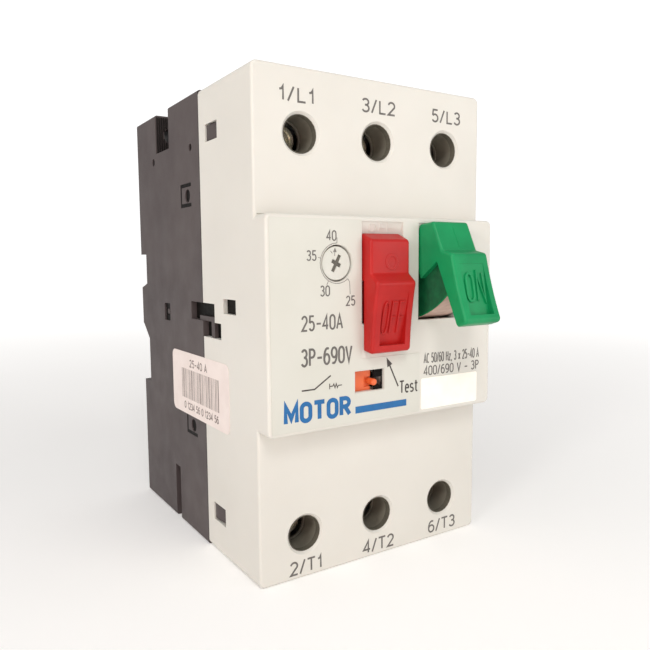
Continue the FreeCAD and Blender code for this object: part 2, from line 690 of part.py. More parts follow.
def makeContactSet():
    bridges = []
    windows = []
    springs = []
    front = bridgeRear + bridgeThick
    for x in poles:
        strip = block(x - 2.6, x + 2.6, bridgeRear, front, loadContactZ - 2.4, lineContactZ + 2.4)
        parts = [strip]
        for z in (lineContactZ, loadContactZ):
            parts.append(rodY(x, z, 1.9, bridgeRear - tipHeight, bridgeRear + 0.2))
        bridges.append(joined(*parts))
        cage = block(x - 4.6, x + 4.6, bridgeRear - 2.2, carrierRear + 0.5,
                     carrierZ - carrierHalf, carrierZ + carrierHalf)
        windows.append(cage.cut(block(x - 2.9, x + 2.9, bridgeRear - 0.1, carrierRear - 1.2,
                                      carrierZ - carrierHalf - 1, carrierZ + carrierHalf + 1)))
        length = carrierRear - 1.2 - front
        springs.append(coil(1.7, 0.3, 4, length - 0.8, Vec(x, -front - 0.4, carrierZ), Vec(0, -1, 0)))
    bar = block(-wallX + 1.2, wallX - 1.2, carrierRear, carrierFront,
                carrierZ - carrierHalf, carrierZ + carrierHalf)
    stem = block(leverX - 2.0, leverX + 2.0, carrierFront - 0.5, leverRear - moveGap,
                 carrierZ - 1.8, carrierZ + 1.8)
    save("contact_carrier", joined(bar, stem, *windows))
    save("contact_bridges", *bridges)
    save("contact_springs", *springs)


splitterCount = 6
splitterPitch = 2.2


def makeArcChutes():
    """Stacks of splitter plates beside each pair of contacts."""
    plates = []
    cheeks = []
    half = 6.4
    low = loadArmEnd + 0.8
    high = loadContactZ - 3.4
    for x in poles:
        for level in range(splitterCount):
            depth = tipFront + 1.6 + level * splitterPitch
            plate = block(x - half, x + half, depth, depth + 1.0, low, high)
            plates.append(plate.cut(block(x - 2.2, x + 2.2, depth - 1, depth + 2, high - 3.4, high + 1)))
        for sign in (-1, 1):
            x0, x1 = sorted((x + sign * half, x + sign * (half + 1.0)))
            cheeks.append(block(x0, x1, tipFront + 1.0, tipFront + 2.2 + splitterCount * splitterPitch,
                                low - 0.4, high + 0.4))
    save("arc_splitter_plates", *plates)
    save("arc_chute_cheeks", *cheeks)


# ---- Trip units ----------------------------------------------------------
bimetalFoot = 14.0
bimetalTip = 43.6
coilDepths = (26.8, 38.0)
yokeThick = 1.4


def makeTripUnits():
    strips = []
    heaters = []
    coils = []
    yokes = []
    plungers = []
    front, rear = coilDepths[1], coilDepths[0]
    for x in poles:
        strips.append(block(x - 2.2, x + 2.2, bimetalFoot - 0.5, bimetalTip,
                            bimetalZ - 0.4, bimetalZ + 0.4))
        ribbon = []
        for turn in range(7):
            depth = 18.0 + turn * 2.6
            ring = block(x - 3.1, x + 3.1, depth, depth + 1.6, bimetalZ - 1.7, bimetalZ + 1.7)
            hollow = block(x - 2.5, x + 2.5, depth - 1, depth + 3, bimetalZ - 1.1, bimetalZ + 1.1)
            ribbon.append(ring.cut(hollow))
        spine = block(x - 3.1, x - 2.5, 18.0, 18.0 + 6 * 2.6 + 1.6, bimetalZ - 0.6, bimetalZ + 0.6)
        heaters.append(joined(spine, *ribbon))
        winding = rodY(x, magnetZ, 5.0, rear + 0.2, front - 0.2).cut(rodY(x, magnetZ, 3.2, rear, front))
        for turn in range(5):
            middle = rear + 1.8 + turn * 1.9
            groove = Part.makeTorus(5.0, 0.28, Vec(x, -middle, magnetZ), Vec(0, 1, 0))
            winding = winding.cut(groove)
        coils.append(winding)
        yoke = block(x - 5.0, x + 5.0, rear - yokeThick, front + yokeThick, magnetZ - 5.0, magnetZ + 6.6)
        yoke = yoke.cut(block(x - 6.0, x + 6.0, rear, front, magnetZ - 6.0, magnetZ + 5.4))
        bobbin = rodY(x, magnetZ, 3.1, rear, front).cut(rodY(x, magnetZ, 2.5, rear - 1, front + 1))
        yokes.append(joined(yoke, bobbin).cut(rodY(x, magnetZ, 2.5, front - 1, front + 3)))
        plungers.append(rodY(x, magnetZ, 2.2, front - 8.0, tripDepth - 2.0))
    save("bimetal_strips", *strips)
    save("heater_windings", *heaters)
    save("magnet_coils", *coils)
    save("magnet_yokes", *yokes)
    save("magnet_plungers", *plungers)


def makeTripBar():
    bar = rodX(tripDepth, tripZ, tripRadius, -wallX + 0.8, wallX - 0.8)
    parts = [bar]
    for x in poles:
        finger = [(tripDepth + 0.9, tripZ), (tripDepth - 0.9, tripZ), (41.0, bimetalZ + 1.3),
                  (42.2, bimetalZ + 0.8)]
        parts.append(sideProfile(finger, x - 1.4, x + 1.4))
        parts.append(block(x - 1.4, x + 1.4, tripDepth - 0.6, tripDepth + 0.6, tripZ, magnetZ + 1.2))
    parts.append(block(leverX - 1.6, leverX + 1.6, tripDepth, 55.0, tripZ - 1.0, tripZ + 1.0))
    testArm = [(tripDepth, tripZ - 1.0), (52.0, tripZ - 1.0), (57.0, pegZ - 3.6), (56.0, pegZ - 1.4),
               (54.6, pegZ - 1.4), (50.4, tripZ + 1.0), (tripDepth, tripZ + 1.0)]
    parts.append(sideProfile(testArm, *testArmX))
    save("trip_bar", joined(*parts))


testArmX = (-3.2, -1.8)
leverRear = 54.4


# ---- Switching mechanism -------------------------------------------------
def makeMechanism():
    sheets = []
    rods = []
    gap = 3.85
    outline = [(deckDepth, -19.0), (deckDepth + 5, -19.0), (66.0, -9.0), (66.0, 12.0),
               (62.0, 20.0), (deckDepth, 20.0)]
    pins = ((mechDepth, leverPinZ), (mechDepth, latchPinZ))
    spacer = (51.4, -16.0)
    for sign in (-1, 1):
        x0, x1 = sorted((leverX + sign * gap, leverX + sign * (gap + 1.2)))
        sheet = sideProfile(outline, x0, x1)
        sheets.append(cutAll(sheet, [rodX(d, z, 1.1, x0 - 1, x1 + 1) for d, z in pins + (spacer,)]))
    for d, z in pins + (spacer,):
        rods.append(rodX(d, z, 1.1, leverX - gap - 1.6, leverX + gap + 1.6))
    save("mechanism_plates", *sheets)
    save("mechanism_pins", *rods)
    lever = [(mechDepth - 2.4, leverPinZ - 1.6), (mechDepth + 2.4, leverPinZ - 1.6),
             (mechDepth + 2.0, leverPinZ + 5), (leverRear + 2.0, carrierZ - 3.6),
             (leverRear + 2.0, carrierZ + 2.4), (leverRear, carrierZ + 2.4),
             (leverRear, carrierZ - 4.2), (mechDepth - 2.2, leverPinZ + 4)]
    leverSolid = joined(sideProfile(lever, leverX - 2.2, leverX + 2.2),
                        rodX(mechDepth, leverPinZ, 2.4, leverX - 3.3, leverX + 3.3))
    save("drive_lever", leverSolid.cut(rodX(mechDepth, leverPinZ, 1.1 + runGap, leverX - 5, leverX + 5)))
    latch = [(mechDepth + 2.2, latchPinZ + 1.0), (mechDepth - 2.2, latchPinZ + 1.0),
             (54.2, tripZ + 2.6), (54.2, tripZ + 1.5), (56.4, tripZ + 1.5), (58.4, latchPinZ - 6.0)]
    latchSolid = joined(sideProfile(latch, leverX - 1.7, leverX + 1.7),
                        rodX(mechDepth, latchPinZ, 2.3, leverX - 3.3, leverX + 3.3))
    save("latch", latchSolid.cut(rodX(mechDepth, latchPinZ, 1.1 + runGap, leverX - 5, leverX + 5)))


def makeDeck():
    """Insulating plate between the mechanism and the contact chambers."""
    top = deckDepth - seatGap
    plate = block(-wallX + 0.4, wallX - 0.4, baseDepth + seatGap, top, -deckHalf, deckHalf)
    cuts = [block(leverX - 2.6, leverX + 2.6, baseDepth - 1, deckDepth + 1, carrierZ - 2.4, carrierZ + 2.4),
            block(leverX - 2.2, leverX + 2.2, baseDepth - 1, deckDepth + 1, tripZ - 2.8, tripZ + 1.6),
            block(testArmX[0] - 0.5, testArmX[1] + 0.5, baseDepth - 1, deckDepth + 1,
                  tripZ - 2.8, tripZ + 1.8),
            block(-halfW, -halfW + 7.0, baseDepth - 1, deckDepth + 1, -4.5, 7.0)]
    save("insulating_deck", cutAll(plate, cuts))


# ---- Rail clip, screws and labels ----------------------------------------
clipTravel = 3.0
clipDepths = (0.6, lowerSeat - 0.4)


def makeRailClip():
    d0, d1 = clipDepths
    low = -halfH + clipTravel + 1.2
    body = block(-channelHalf + moveGap, channelHalf - moveGap, d0, d1, low, recessLow + 0.6)
    reach = channelHalf + grooveReach - moveGap
    wings = block(-reach, reach, grooveDepths[0] + moveGap, grooveDepths[1] - moveGap, low, recessLow - 1)
    lip = upperSeat - railLip
    hook = sideProfile([(d0, recessLow + 0.5), (lip, recessLow + 0.5), (lip, recessLow + 3.6),
                        (lip - 1.0, recessLow + 3.6), (d0, recessLow + 1.6)],
                       -channelHalf + moveGap, channelHalf - moveGap)
    clip = joined(body, wings, hook)
    window = block(-2.2, 2.2, -1, lowerSeat + 1, lugZ[0] - 2.0, springTop)
    pull = block(-2.5, 2.5, -1, lowerSeat + 1, low + 1.4, low + 3.0)
    save("rail_clip", cutAll(clip, [window, pull]))
    middle = (d0 + d1) / 2
    length = springTop - lugZ[1]
    save("clip_spring", coil(1.5, 0.25, 7, length - 0.5, Vec(0, -middle, lugZ[1] + 0.25), Vec(0, 0, 1)))


springTop = -28.0


def makeCaseScrews():
    screws = []
    for x in partitions:
        for z in screwBossZ:
            shank = rodY(x, z, caseScrewRadius, 1.6, caseDepth - 5)
            head = rodY(x, z, 2.7, 0.4, 2.6)
            slot = block(x - 2.0, x + 2.0, 0, 1.2, z - 0.35, z + 0.35)
            cross = block(x - 0.35, x + 0.35, 0, 1.2, z - 2.0, z + 2.0)
            screws.append(cutAll(joined(shank, head), [slot, cross]))
    save("case_screws", *screws)


sideLabel = (25.0, 61.0, -24.0, -8.0)       # depths and heights
blankLabel = (8.7, 26.6, -19.7, -12.4)      # x values and heights
filmMargin = 0.75
filmRight = 8.2
filmStepZ = -6.3


def makeLabels():
    tag = block(-halfW - skin, -halfW, *sideLabel)
    tag = tag.makeFillet(1.8, edgesAt(tag, Vec(1, 0, 0), lambda c: True))
    save("side_label", tag)
    x0, x1, z0, z1 = blankLabel
    spare = block(x0, x1, noseDepth, noseDepth + skin, z0, z1)
    save("blank_label", spare.makeFillet(0.5, edgesAt(spare, Vec(0, 1, 0), lambda c: True)))
    left = -halfW + filmMargin
    low = noseLow + filmMargin
    inner = offX - buttonWidth / 2 - moveGap - 0.3
    front = noseDepth + skin
    film = joined(block(left, inner, noseDepth, front, low, noseHigh - filmMargin),
                  block(left, filmRight, noseDepth, front, low, filmStepZ))
    film = film.cut(rodY(dialX, dialZ, dialRadius + moveGap + 0.1, noseDepth - 1, front + 1))
    film = film.cut(block(slotX[0] - 0.15, slotX[1] + 0.15, noseDepth - 1, front + 1,
                          slotZ[0] - 0.15, slotZ[1] + 0.15))
    save("rating_label", film)


makeBase()
makeCover()
makeButtons()
makeDial()
makeTestSlider()
makeTerminals()
makeConductors()
makeContactSet()
makeArcChutes()
makeTripUnits()
makeTripBar()
makeMechanism()
makeDeck()
makeRailClip()
makeCaseScrews()
makeLabels()
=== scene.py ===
import json
from math import cos, radians, sin

import bmesh
import bpy
from mathutils import Matrix, Vector
from mathutils.geometry import delaunay_2d_cdt


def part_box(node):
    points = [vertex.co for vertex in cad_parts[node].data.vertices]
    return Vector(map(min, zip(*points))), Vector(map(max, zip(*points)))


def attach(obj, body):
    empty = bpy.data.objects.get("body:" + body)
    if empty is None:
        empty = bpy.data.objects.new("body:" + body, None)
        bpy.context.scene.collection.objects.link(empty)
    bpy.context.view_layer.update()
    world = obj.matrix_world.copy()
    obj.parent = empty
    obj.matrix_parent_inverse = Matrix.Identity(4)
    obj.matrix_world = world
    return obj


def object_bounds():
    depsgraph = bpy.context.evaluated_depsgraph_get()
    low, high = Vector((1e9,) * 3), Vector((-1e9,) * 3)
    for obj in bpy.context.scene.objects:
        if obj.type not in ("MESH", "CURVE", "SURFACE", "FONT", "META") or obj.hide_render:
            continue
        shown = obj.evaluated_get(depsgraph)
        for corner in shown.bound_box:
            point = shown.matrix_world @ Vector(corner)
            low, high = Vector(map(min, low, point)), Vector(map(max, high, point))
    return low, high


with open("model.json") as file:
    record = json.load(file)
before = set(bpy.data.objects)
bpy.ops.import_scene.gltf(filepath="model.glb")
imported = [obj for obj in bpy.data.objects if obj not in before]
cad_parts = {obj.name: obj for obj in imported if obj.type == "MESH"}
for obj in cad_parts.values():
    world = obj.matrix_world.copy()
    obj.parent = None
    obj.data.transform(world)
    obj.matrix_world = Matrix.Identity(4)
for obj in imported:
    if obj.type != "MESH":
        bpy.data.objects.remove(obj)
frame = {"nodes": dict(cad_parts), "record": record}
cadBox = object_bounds()
nodes = frame["nodes"]
mm = 0.001
print("frame loaded:", len(nodes), "parts")


def srgb(red, green, blue):
    # screen values from 0 to 255, turned into linear light
    def linear(value):
        value /= 255
        return value / 12.92 if value <= 0.04045 else ((value + 0.055) / 1.055) ** 2.4

    return (linear(red), linear(green), linear(blue), 1)


def makeFinish(name, values):
    # one recipe for every surface: mottled colour, uneven gloss, and two layers of relief
    material = bpy.data.materials.new(name)
    material.use_nodes = True
    tree = material.node_tree
    add, link = tree.nodes.new, tree.links.new
    shader = tree.nodes["Principled BSDF"]
    shader.inputs["Metallic"].default_value = values.get("metallic", 0)
    shader.inputs["IOR"].default_value = values.get("ior", 1.48)
    shader.inputs["Specular IOR Level"].default_value = values.get("specular", 0.5)
    shader.inputs["Coat Weight"].default_value = values.get("coat", 0)
    shader.inputs["Coat Roughness"].default_value = values.get("coatRoughness", 0.2)
    shader.inputs["Subsurface Weight"].default_value = values.get("bleed", 0)
    shader.inputs["Subsurface Radius"].default_value = (0.6, 0.4, 0.3)
    shader.inputs["Subsurface Scale"].default_value = 0.8 * mm
    place = add("ShaderNodeTexCoord")
    stretch = add("ShaderNodeMapping")
    stretch.inputs["Scale"].default_value = values.get("stretch", (1, 1, 1))
    link(place.outputs["Object"], stretch.inputs["Vector"])

    def noise(scale, detail):
        texture = add("ShaderNodeTexNoise")
        texture.inputs["Scale"].default_value = scale
        texture.inputs["Detail"].default_value = detail
        link(stretch.outputs["Vector"], texture.inputs["Vector"])
        return texture.outputs["Fac"]

    mottle = add("ShaderNodeValToRGB")
    mottle.color_ramp.elements[0].position = 0.35
    mottle.color_ramp.elements[0].color = srgb(*values["deep"])
    mottle.color_ramp.elements[1].position = 0.65
    mottle.color_ramp.elements[1].color = srgb(*values["light"])
    link(noise(values["mottleScale"], 4), mottle.inputs["Fac"])
    link(mottle.outputs["Color"], shader.inputs["Base Color"])

    gloss = add("ShaderNodeMapRange")
    gloss.inputs["From Min"].default_value = 0.3
    gloss.inputs["From Max"].default_value = 0.7
    gloss.inputs["To Min"].default_value = values["roughness"][0]
    gloss.inputs["To Max"].default_value = values["roughness"][1]
    link(noise(values["glossScale"], 3), gloss.inputs["Value"])
    link(gloss.outputs["Result"], shader.inputs["Roughness"])

    normal = None
    for scale, strength, height in values["relief"]:
        bump = add("ShaderNodeBump")
        bump.inputs["Strength"].default_value = strength
        bump.inputs["Distance"].default_value = height * mm
        link(noise(scale, 2), bump.inputs["Height"])
        if normal:
            link(normal, bump.inputs["Normal"])
        normal = bump.outputs["Normal"]
    link(normal, shader.inputs["Normal"])
    return material


# mottleScale, glossScale and the first number of each relief layer are in repeats per metre
finishes = {
    "dark_housing": dict(
        light=(78, 69, 68), deep=(69, 60, 60), mottleScale=45, glossScale=160, roughness=(0.5, 0.62),
        relief=[(4200, 0.55, 0.03), (900, 0.3, 0.05)], specular=0.45,
    ),
    "cream_housing": dict(
        light=(215, 212, 204), deep=(210, 207, 199), mottleScale=35, glossScale=120, roughness=(0.4, 0.5),
        relief=[(5200, 0.22, 0.015), (420, 0.12, 0.05)], specular=0.45, bleed=0.06,
    ),
    "grey_insulator": dict(
        light=(128, 123, 110), deep=(114, 109, 98), mottleScale=180, glossScale=500, roughness=(0.34, 0.46),
        relief=[(3000, 0.3, 0.03), (700, 0.2, 0.05)],
    ),
    "red_button": dict(
        light=(182, 30, 27), deep=(170, 24, 22), mottleScale=150, glossScale=300, roughness=(0.34, 0.44),
        relief=[(3600, 0.12, 0.02), (500, 0.12, 0.05)], specular=0.3,
    ),
    "green_button": dict(
        light=(14, 144, 86), deep=(9, 132, 78), mottleScale=150, glossScale=300, roughness=(0.34, 0.44),
        relief=[(3600, 0.12, 0.02), (500, 0.12, 0.05)], specular=0.3,
    ),
    "cream_dial": dict(
        light=(206, 206, 197), deep=(200, 200, 190), mottleScale=220, glossScale=400, roughness=(0.32, 0.42),
        relief=[(4000, 0.15, 0.02), (800, 0.1, 0.04)],
    ),
    "orange_slider": dict(
        light=(230, 110, 58), deep=(220, 98, 49), mottleScale=260, glossScale=500, roughness=(0.34, 0.44),
        relief=[(3800, 0.2, 0.02), (900, 0.15, 0.04)],
    ),
    "black_clip": dict(
        light=(44, 42, 42), deep=(34, 32, 32), mottleScale=200, glossScale=420, roughness=(0.42, 0.56),
        relief=[(3600, 0.5, 0.03), (700, 0.25, 0.05)],
    ),
    "red_brown_bar": dict(
        light=(120, 62, 46), deep=(104, 52, 38), mottleScale=260, glossScale=400, roughness=(0.42, 0.55),
        relief=[(3000, 0.3, 0.03), (700, 0.2, 0.05)],
    ),
    "fibre_board": dict(
        light=(176, 148, 112), deep=(156, 128, 94), mottleScale=900, glossScale=900, roughness=(0.7, 0.85),
        relief=[(5000, 0.5, 0.04), (1200, 0.3, 0.05)], stretch=(1, 1, 0.25),
    ),
    "bright_steel": dict(
        light=(206, 206, 208), deep=(188, 188, 192), mottleScale=600, glossScale=1500, roughness=(0.16, 0.28),
        relief=[(5000, 0.15, 0.01), (1500, 0.1, 0.02)], metallic=1, stretch=(0.1, 1, 1),
    ),
    "zinc_steel": dict(
        light=(196, 196, 194), deep=(172, 172, 172), mottleScale=420, glossScale=900, roughness=(0.26, 0.4),
        relief=[(3200, 0.25, 0.02), (900, 0.15, 0.03)], metallic=1, stretch=(1, 1, 0.3),
    ),
    "zinc_screw": dict(
        light=(228, 222, 202), deep=(196, 190, 170), mottleScale=500, glossScale=900, roughness=(0.2, 0.34),
        relief=[(3200, 0.25, 0.02), (1100, 0.2, 0.03)], metallic=1,
    ),
    "zinc_clamp": dict(
        light=(190, 190, 188), deep=(168, 168, 168), mottleScale=400, glossScale=900, roughness=(0.28, 0.42),
        relief=[(3000, 0.25, 0.02), (900, 0.15, 0.03)], metallic=1, stretch=(1, 0.3, 1),
    ),
    "spring_steel": dict(
        light=(176, 176, 180), deep=(150, 150, 156), mottleScale=700, glossScale=1400, roughness=(0.22, 0.34),
        relief=[(5000, 0.2, 0.01), (1500, 0.1, 0.02)], metallic=1,
    ),
    "copper": dict(
        light=(214, 148, 112), deep=(188, 118, 84), mottleScale=260, glossScale=800, roughness=(0.24, 0.4),
        relief=[(3000, 0.2, 0.02), (900, 0.15, 0.03)], metallic=1, stretch=(1, 1, 0.3),
    ),
    "enamel_copper": dict(
        light=(180, 96, 56), deep=(150, 74, 42), mottleScale=400, glossScale=900, roughness=(0.2, 0.32),
        relief=[(3000, 0.15, 0.02), (900, 0.1, 0.03)], metallic=0.7, coat=0.6, coatRoughness=0.12,
    ),
    "silver_contact": dict(
        light=(226, 226, 222), deep=(204, 204, 200), mottleScale=900, glossScale=1500, roughness=(0.24, 0.38),
        relief=[(4000, 0.25, 0.02), (1200, 0.2, 0.03)], metallic=1,
    ),
    "bimetal": dict(
        light=(186, 178, 160), deep=(164, 154, 136), mottleScale=500, glossScale=900, roughness=(0.26, 0.4),
        relief=[(3500, 0.2, 0.02), (900, 0.15, 0.03)], metallic=1, stretch=(1, 1, 0.2),
    ),
    "paper_label": dict(
        light=(252, 248, 238), deep=(248, 243, 232), mottleScale=300, glossScale=700, roughness=(0.55, 0.68),
        relief=[(6000, 0.3, 0.01), (900, 0.15, 0.02)],
    ),
    "film_label": dict(
        light=(207, 206, 197), deep=(203, 202, 192), mottleScale=60, glossScale=260, roughness=(0.36, 0.46),
        relief=[(6500, 0.3, 0.008), (500, 0.1, 0.03)],
    ),
}
materials = {slot: makeFinish(slot, values) for slot, values in finishes.items()}
materials["side_paper"] = makeFinish(
    "side_paper",
    dict(
        light=(231, 219, 213), deep=(226, 213, 207), mottleScale=300, glossScale=700, roughness=(0.5, 0.64),
        relief=[(6000, 0.3, 0.01), (900, 0.15, 0.02)],
    ),
)
inks = {
    "grey_ink": dict(light=(104, 100, 96), deep=(94, 90, 86)),
    "fine_ink": dict(light=(126, 122, 117), deep=(114, 110, 105)),
    "black_ink": dict(light=(74, 66, 62), deep=(60, 53, 50)),
    "bar_ink": dict(light=(132, 118, 112), deep=(112, 99, 94)),
    "blue_ink": dict(light=(14, 100, 160), deep=(11, 93, 151)),
    # painted shade inside the dial's cross slots
    "slot_shade": dict(light=(92, 88, 78), deep=(78, 75, 66)),
    # painted shadow along the nose's upper edge
    "painted_edge_shadow": dict(light=(168, 165, 152), deep=(158, 155, 143)),
    # painted shade on the ribs deep in the corner notch
    "rib_shade": dict(light=(40, 36, 35), deep=(30, 27, 26), specular=0.08),
    # painted shade on the sides of the ON button's core
    "green_painted_shade": dict(light=(13, 98, 58), deep=(8, 84, 50)),
    # a dark joint on the parting line, and painted shade in the slider's window, behind the side face's
    # openings and in its holes
    "dark_joint_and_shade": dict(light=(24, 22, 20), deep=(18, 16, 15), specular=0.06),
    "hole_liner": dict(light=(104, 100, 88), deep=(94, 90, 80), specular=0.2),
    # painted shade: the shaded cream tone of the wall inside the ON button's opening
    "shaded_cream_strip": dict(light=(196, 168, 154), deep=(184, 154, 140)),
}
inkSurface = dict(
    mottleScale=700, glossScale=900, roughness=(0.42, 0.56),
    relief=[(5000, 0.3, 0.01), (900, 0.15, 0.02)],
)
materials.update({name: makeFinish(name, {**inkSurface, **tones}) for name, tones in inks.items()})

slotOf = {part["node"]: part["material_slot"] for part in frame["record"]["subparts"]}
for name, node in nodes.items():
    finish = "side_paper" if name == "side_label" else slotOf[name]
    for place in node.material_slots:
        place.material = materials[finish]
print("finishes given to the parts:", len(materials))


def addPiece(name, bm, finish, body):
    mesh = bpy.data.meshes.new(name)
    bm.to_mesh(mesh)
    bm.free()
    mesh.materials.append(materials[finish])
    piece = bpy.data.objects.new(name, mesh)
    bpy.context.scene.collection.objects.link(piece)
    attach(piece, body)
    return piece


def arc(centreX, centreY, radiusX, radiusY, start, end):
    # points of an oval arc, one about every 15 degrees
    steps = max(2, round(abs(end - start) / 15))
    turns = [radians(start + (end - start) * step / steps) for step in range(steps + 1)]
    return [(centreX + radiusX * cos(turn), centreY + radiusY * sin(turn)) for turn in turns]


# single-line letters: each is its width and its strokes, in a box one unit high
letters = {
    "0": (
        0.56,
        [arc(0.28, 0.72, 0.26, 0.28, 0, 180)
         + arc(0.28, 0.28, 0.26, 0.28, 180, 360) + [(0.54, 0.72)]],
    ),
    "1": (0.36, [[(0.04, 0.76), (0.18, 0.8), (0.26, 1), (0.26, 0)]]),
    "2": (0.56, [arc(0.28, 0.72, 0.25, 0.28, 165, -25) + [(0.03, 0), (0.55, 0)]]),
    "3": (0.56, [arc(0.27, 0.76, 0.23, 0.24, 155, -90), arc(0.27, 0.27, 0.26, 0.27, 100, -155)]),
    "4": (0.58, [[(0.43, 0), (0.43, 1), (0.02, 0.27), (0.58, 0.27)]]),
    "5": (0.56, [[(0.51, 1), (0.11, 1), (0.06, 0.52)], arc(0.27, 0.31, 0.26, 0.31, 140, -150)]),
    "6": (0.56, [arc(0.28, 0.31, 0.26, 0.31, 0, 360), arc(0.34, 0.42, 0.32, 0.57, 190, 65)]),
    "9": (0.56, [arc(0.28, 0.69, 0.26, 0.31, 0, 360), arc(0.22, 0.58, 0.32, 0.57, 10, -115)]),
    "/": (0.38, [[(0, -0.04), (0.36, 1.04)]]),
    "-": (0.52, [[(0.04, 0.44), (0.5, 0.44)]]),
    ",": (0.16, [[(0.12, 0.06), (0.02, -0.16)]]),
    " ": (0.3, []),
    "A": (0.62, [[(0.01, 0), (0.31, 1), (0.61, 0)], [(0.11, 0.33), (0.51, 0.33)]]),
    "C": (0.58, [arc(0.3, 0.5, 0.28, 0.5, 50, 310)]),
    "E": (0.54, [[(0.52, 1), (0.05, 1), (0.05, 0), (0.53, 0)], [(0.05, 0.52), (0.48, 0.52)]]),
    "F": (0.5, [[(0.5, 1), (0.05, 1), (0.05, 0)], [(0.05, 0.52), (0.45, 0.52)]]),
    "H": (0.6, [[(0.05, 0), (0.05, 1)], [(0.55, 0), (0.55, 1)], [(0.05, 0.52), (0.55, 0.52)]]),
    "I": (0.1, [[(0.05, 0), (0.05, 1)]]),
    "L": (0.52, [[(0.06, 1), (0.06, 0), (0.52, 0)]]),
    "M": (0.72, [[(0.05, 0), (0.05, 1), (0.36, 0.25), (0.67, 1), (0.67, 0)]]),
    "N": (0.58, [[(0.05, 0), (0.05, 1), (0.53, 0), (0.53, 1)]]),
    "O": (
        0.58,
        [arc(0.29, 0.74, 0.25, 0.26, 0, 180)
         + arc(0.29, 0.26, 0.25, 0.26, 180, 360) + [(0.54, 0.74)]],
    ),
    "P": (0.56, [[(0.05, 0), (0.05, 1), (0.28, 1)] + arc(0.28, 0.75, 0.25, 0.25, 75, -90) + [(0.05, 0.5)]]),
    "R": (
        0.58,
        [[(0.05, 0), (0.05, 1), (0.28, 1)] + arc(0.28, 0.75, 0.25, 0.25, 75, -90) + [(0.05, 0.5)],
         [(0.28, 0.5), (0.56, 0)]],
    ),
    "T": (0.6, [[(0, 1), (0.6, 1)], [(0.3, 1), (0.3, 0)]]),
    "V": (0.6, [[(0.01, 1), (0.3, 0), (0.59, 1)]]),
    "e": (0.52, [[(0.03, 0.37), (0.49, 0.37)] + arc(0.26, 0.34, 0.23, 0.34, 10, 310)]),
    "s": (0.48, [arc(0.24, 0.51, 0.2, 0.17, 35, 265) + arc(0.24, 0.17, 0.22, 0.17, 85, -145)]),
    "t": (
        0.44,
        [[(0.19, 0.95), (0.19, 0.14)] + arc(0.33, 0.14, 0.14, 0.14, 200, 300),
         [(0.01, 0.7), (0.42, 0.7)]],
    ),
    "x": (0.5, [[(0.04, 0), (0.46, 0.66)], [(0.04, 0.66), (0.46, 0)]]),
    "z": (0.5, [[(0.04, 0.68), (0.46, 0.68), (0.03, 0), (0.48, 0)]]),
}


def strokeFaces(points, width, leastMitre=0.35):
    # the two edges of a line of that width, mitred at its corners, as a row of four-sided faces
    points = [Vector(point) for point in points]
    closed = (points[0] - points[-1]).length < 1e-6
    if closed:
        points.pop()
    count = len(points)
    sides = []
    for index, point in enumerate(points):
        before = points[index - 1] if closed or index else None
        after = points[(index + 1) % count] if closed or index < count - 1 else None
        steps = [point - before] if before else []
        steps += [after - point] if after else []
        ways = [step.normalized() for step in steps]
        normals = [Vector((-way.y, way.x)) for way in ways]
        mitre = sum(normals, Vector((0, 0))).normalized()
        mitre *= width / 2 / max(leastMitre, mitre.dot(normals[0]))
        sides.append((point + mitre, point - mitre))
    faces = []
    for index in range(count if closed else count - 1):
        (left, right), (nextLeft, nextRight) = sides[index], sides[(index + 1) % count]
        for face in ((right, nextRight, nextLeft), (right, nextLeft, left)):
            area = (face[1] - face[0]).cross(face[2] - face[0])
            if abs(area) > 1e-7:
                faces.append(face if area > 0 else face[::-1])
    return faces


def inkPlate(polygons, thickness, chamfer=0):
    # joins overlapping flat polygons into one outline and gives it a thickness, towards +Z
    corners = [corner for polygon in polygons for corner in polygon]
    faces, start = [], 0
    for polygon in polygons:
        faces.append(list(range(start, start + len(polygon))))
        start += len(polygon)
    points, _, parts, _, _, origins = delaunay_2d_cdt(corners, [], faces, 0, 1e-5)
    bm = bmesh.new()
    verts = [bm.verts.new((point.x, point.y, 0)) for point in points]
    for part, origin in zip(parts, origins):
        if origin:
            bm.faces.new([verts[index] for index in part])
    bmesh.ops.delete(bm, geom=[vert for vert in bm.verts if not vert.link_faces], context="VERTS")
    bmesh.ops.dissolve_limit(bm, angle_limit=radians(1), verts=bm.verts, edges=bm.edges)
    for face in bm.faces:
        if face.normal.z < 0:
            face.normal_flip()
    base = list(bm.faces)
    raised = bmesh.ops.extrude_face_region(bm, geom=base)["geom"]
    top = [item for item in raised if isinstance(item, bmesh.types.BMFace)]
    lifted = {vert for face in top for vert in face.verts}
    bmesh.ops.translate(bm, verts=list(lifted), vec=(0, 0, thickness - chamfer))
    if chamfer:
        bmesh.ops.inset_region(bm, faces=top, thickness=chamfer, depth=chamfer, use_boundary=True)
    bmesh.ops.recalc_face_normals(bm, faces=bm.faces)
    return bm


def textPolygons(text, box, stroke):
    # the letters' strokes, spread to fill the box (x0, x1, z0, z1) in millimetres
    gap = 0.2
    widths = [letters[mark][0] for mark in text]
    total = sum(widths) + gap * (len(text) - 1)
    x0, x1, z0, z1 = box
    scaleX = (x1 - x0 - stroke) / total
    scaleZ = z1 - z0 - stroke
    polygons, pen = [], 0
    for mark, width in zip(text, widths):
        for line in letters[mark][1]:
            spots = [(x0 + stroke / 2 + (pen + x) * scaleX, z0 + stroke / 2 + z * scaleZ) for x, z in line]
            polygons += strokeFaces(spots, stroke)
        pen += width + gap
    return polygons


def frontPlane(depth):
    # flat drawing in x and z, seen from the front, at that depth
    return Matrix(((mm, 0, 0, 0), (0, 0, -mm, -depth * mm), (0, mm, 0, 0), (0, 0, 0, 1)))


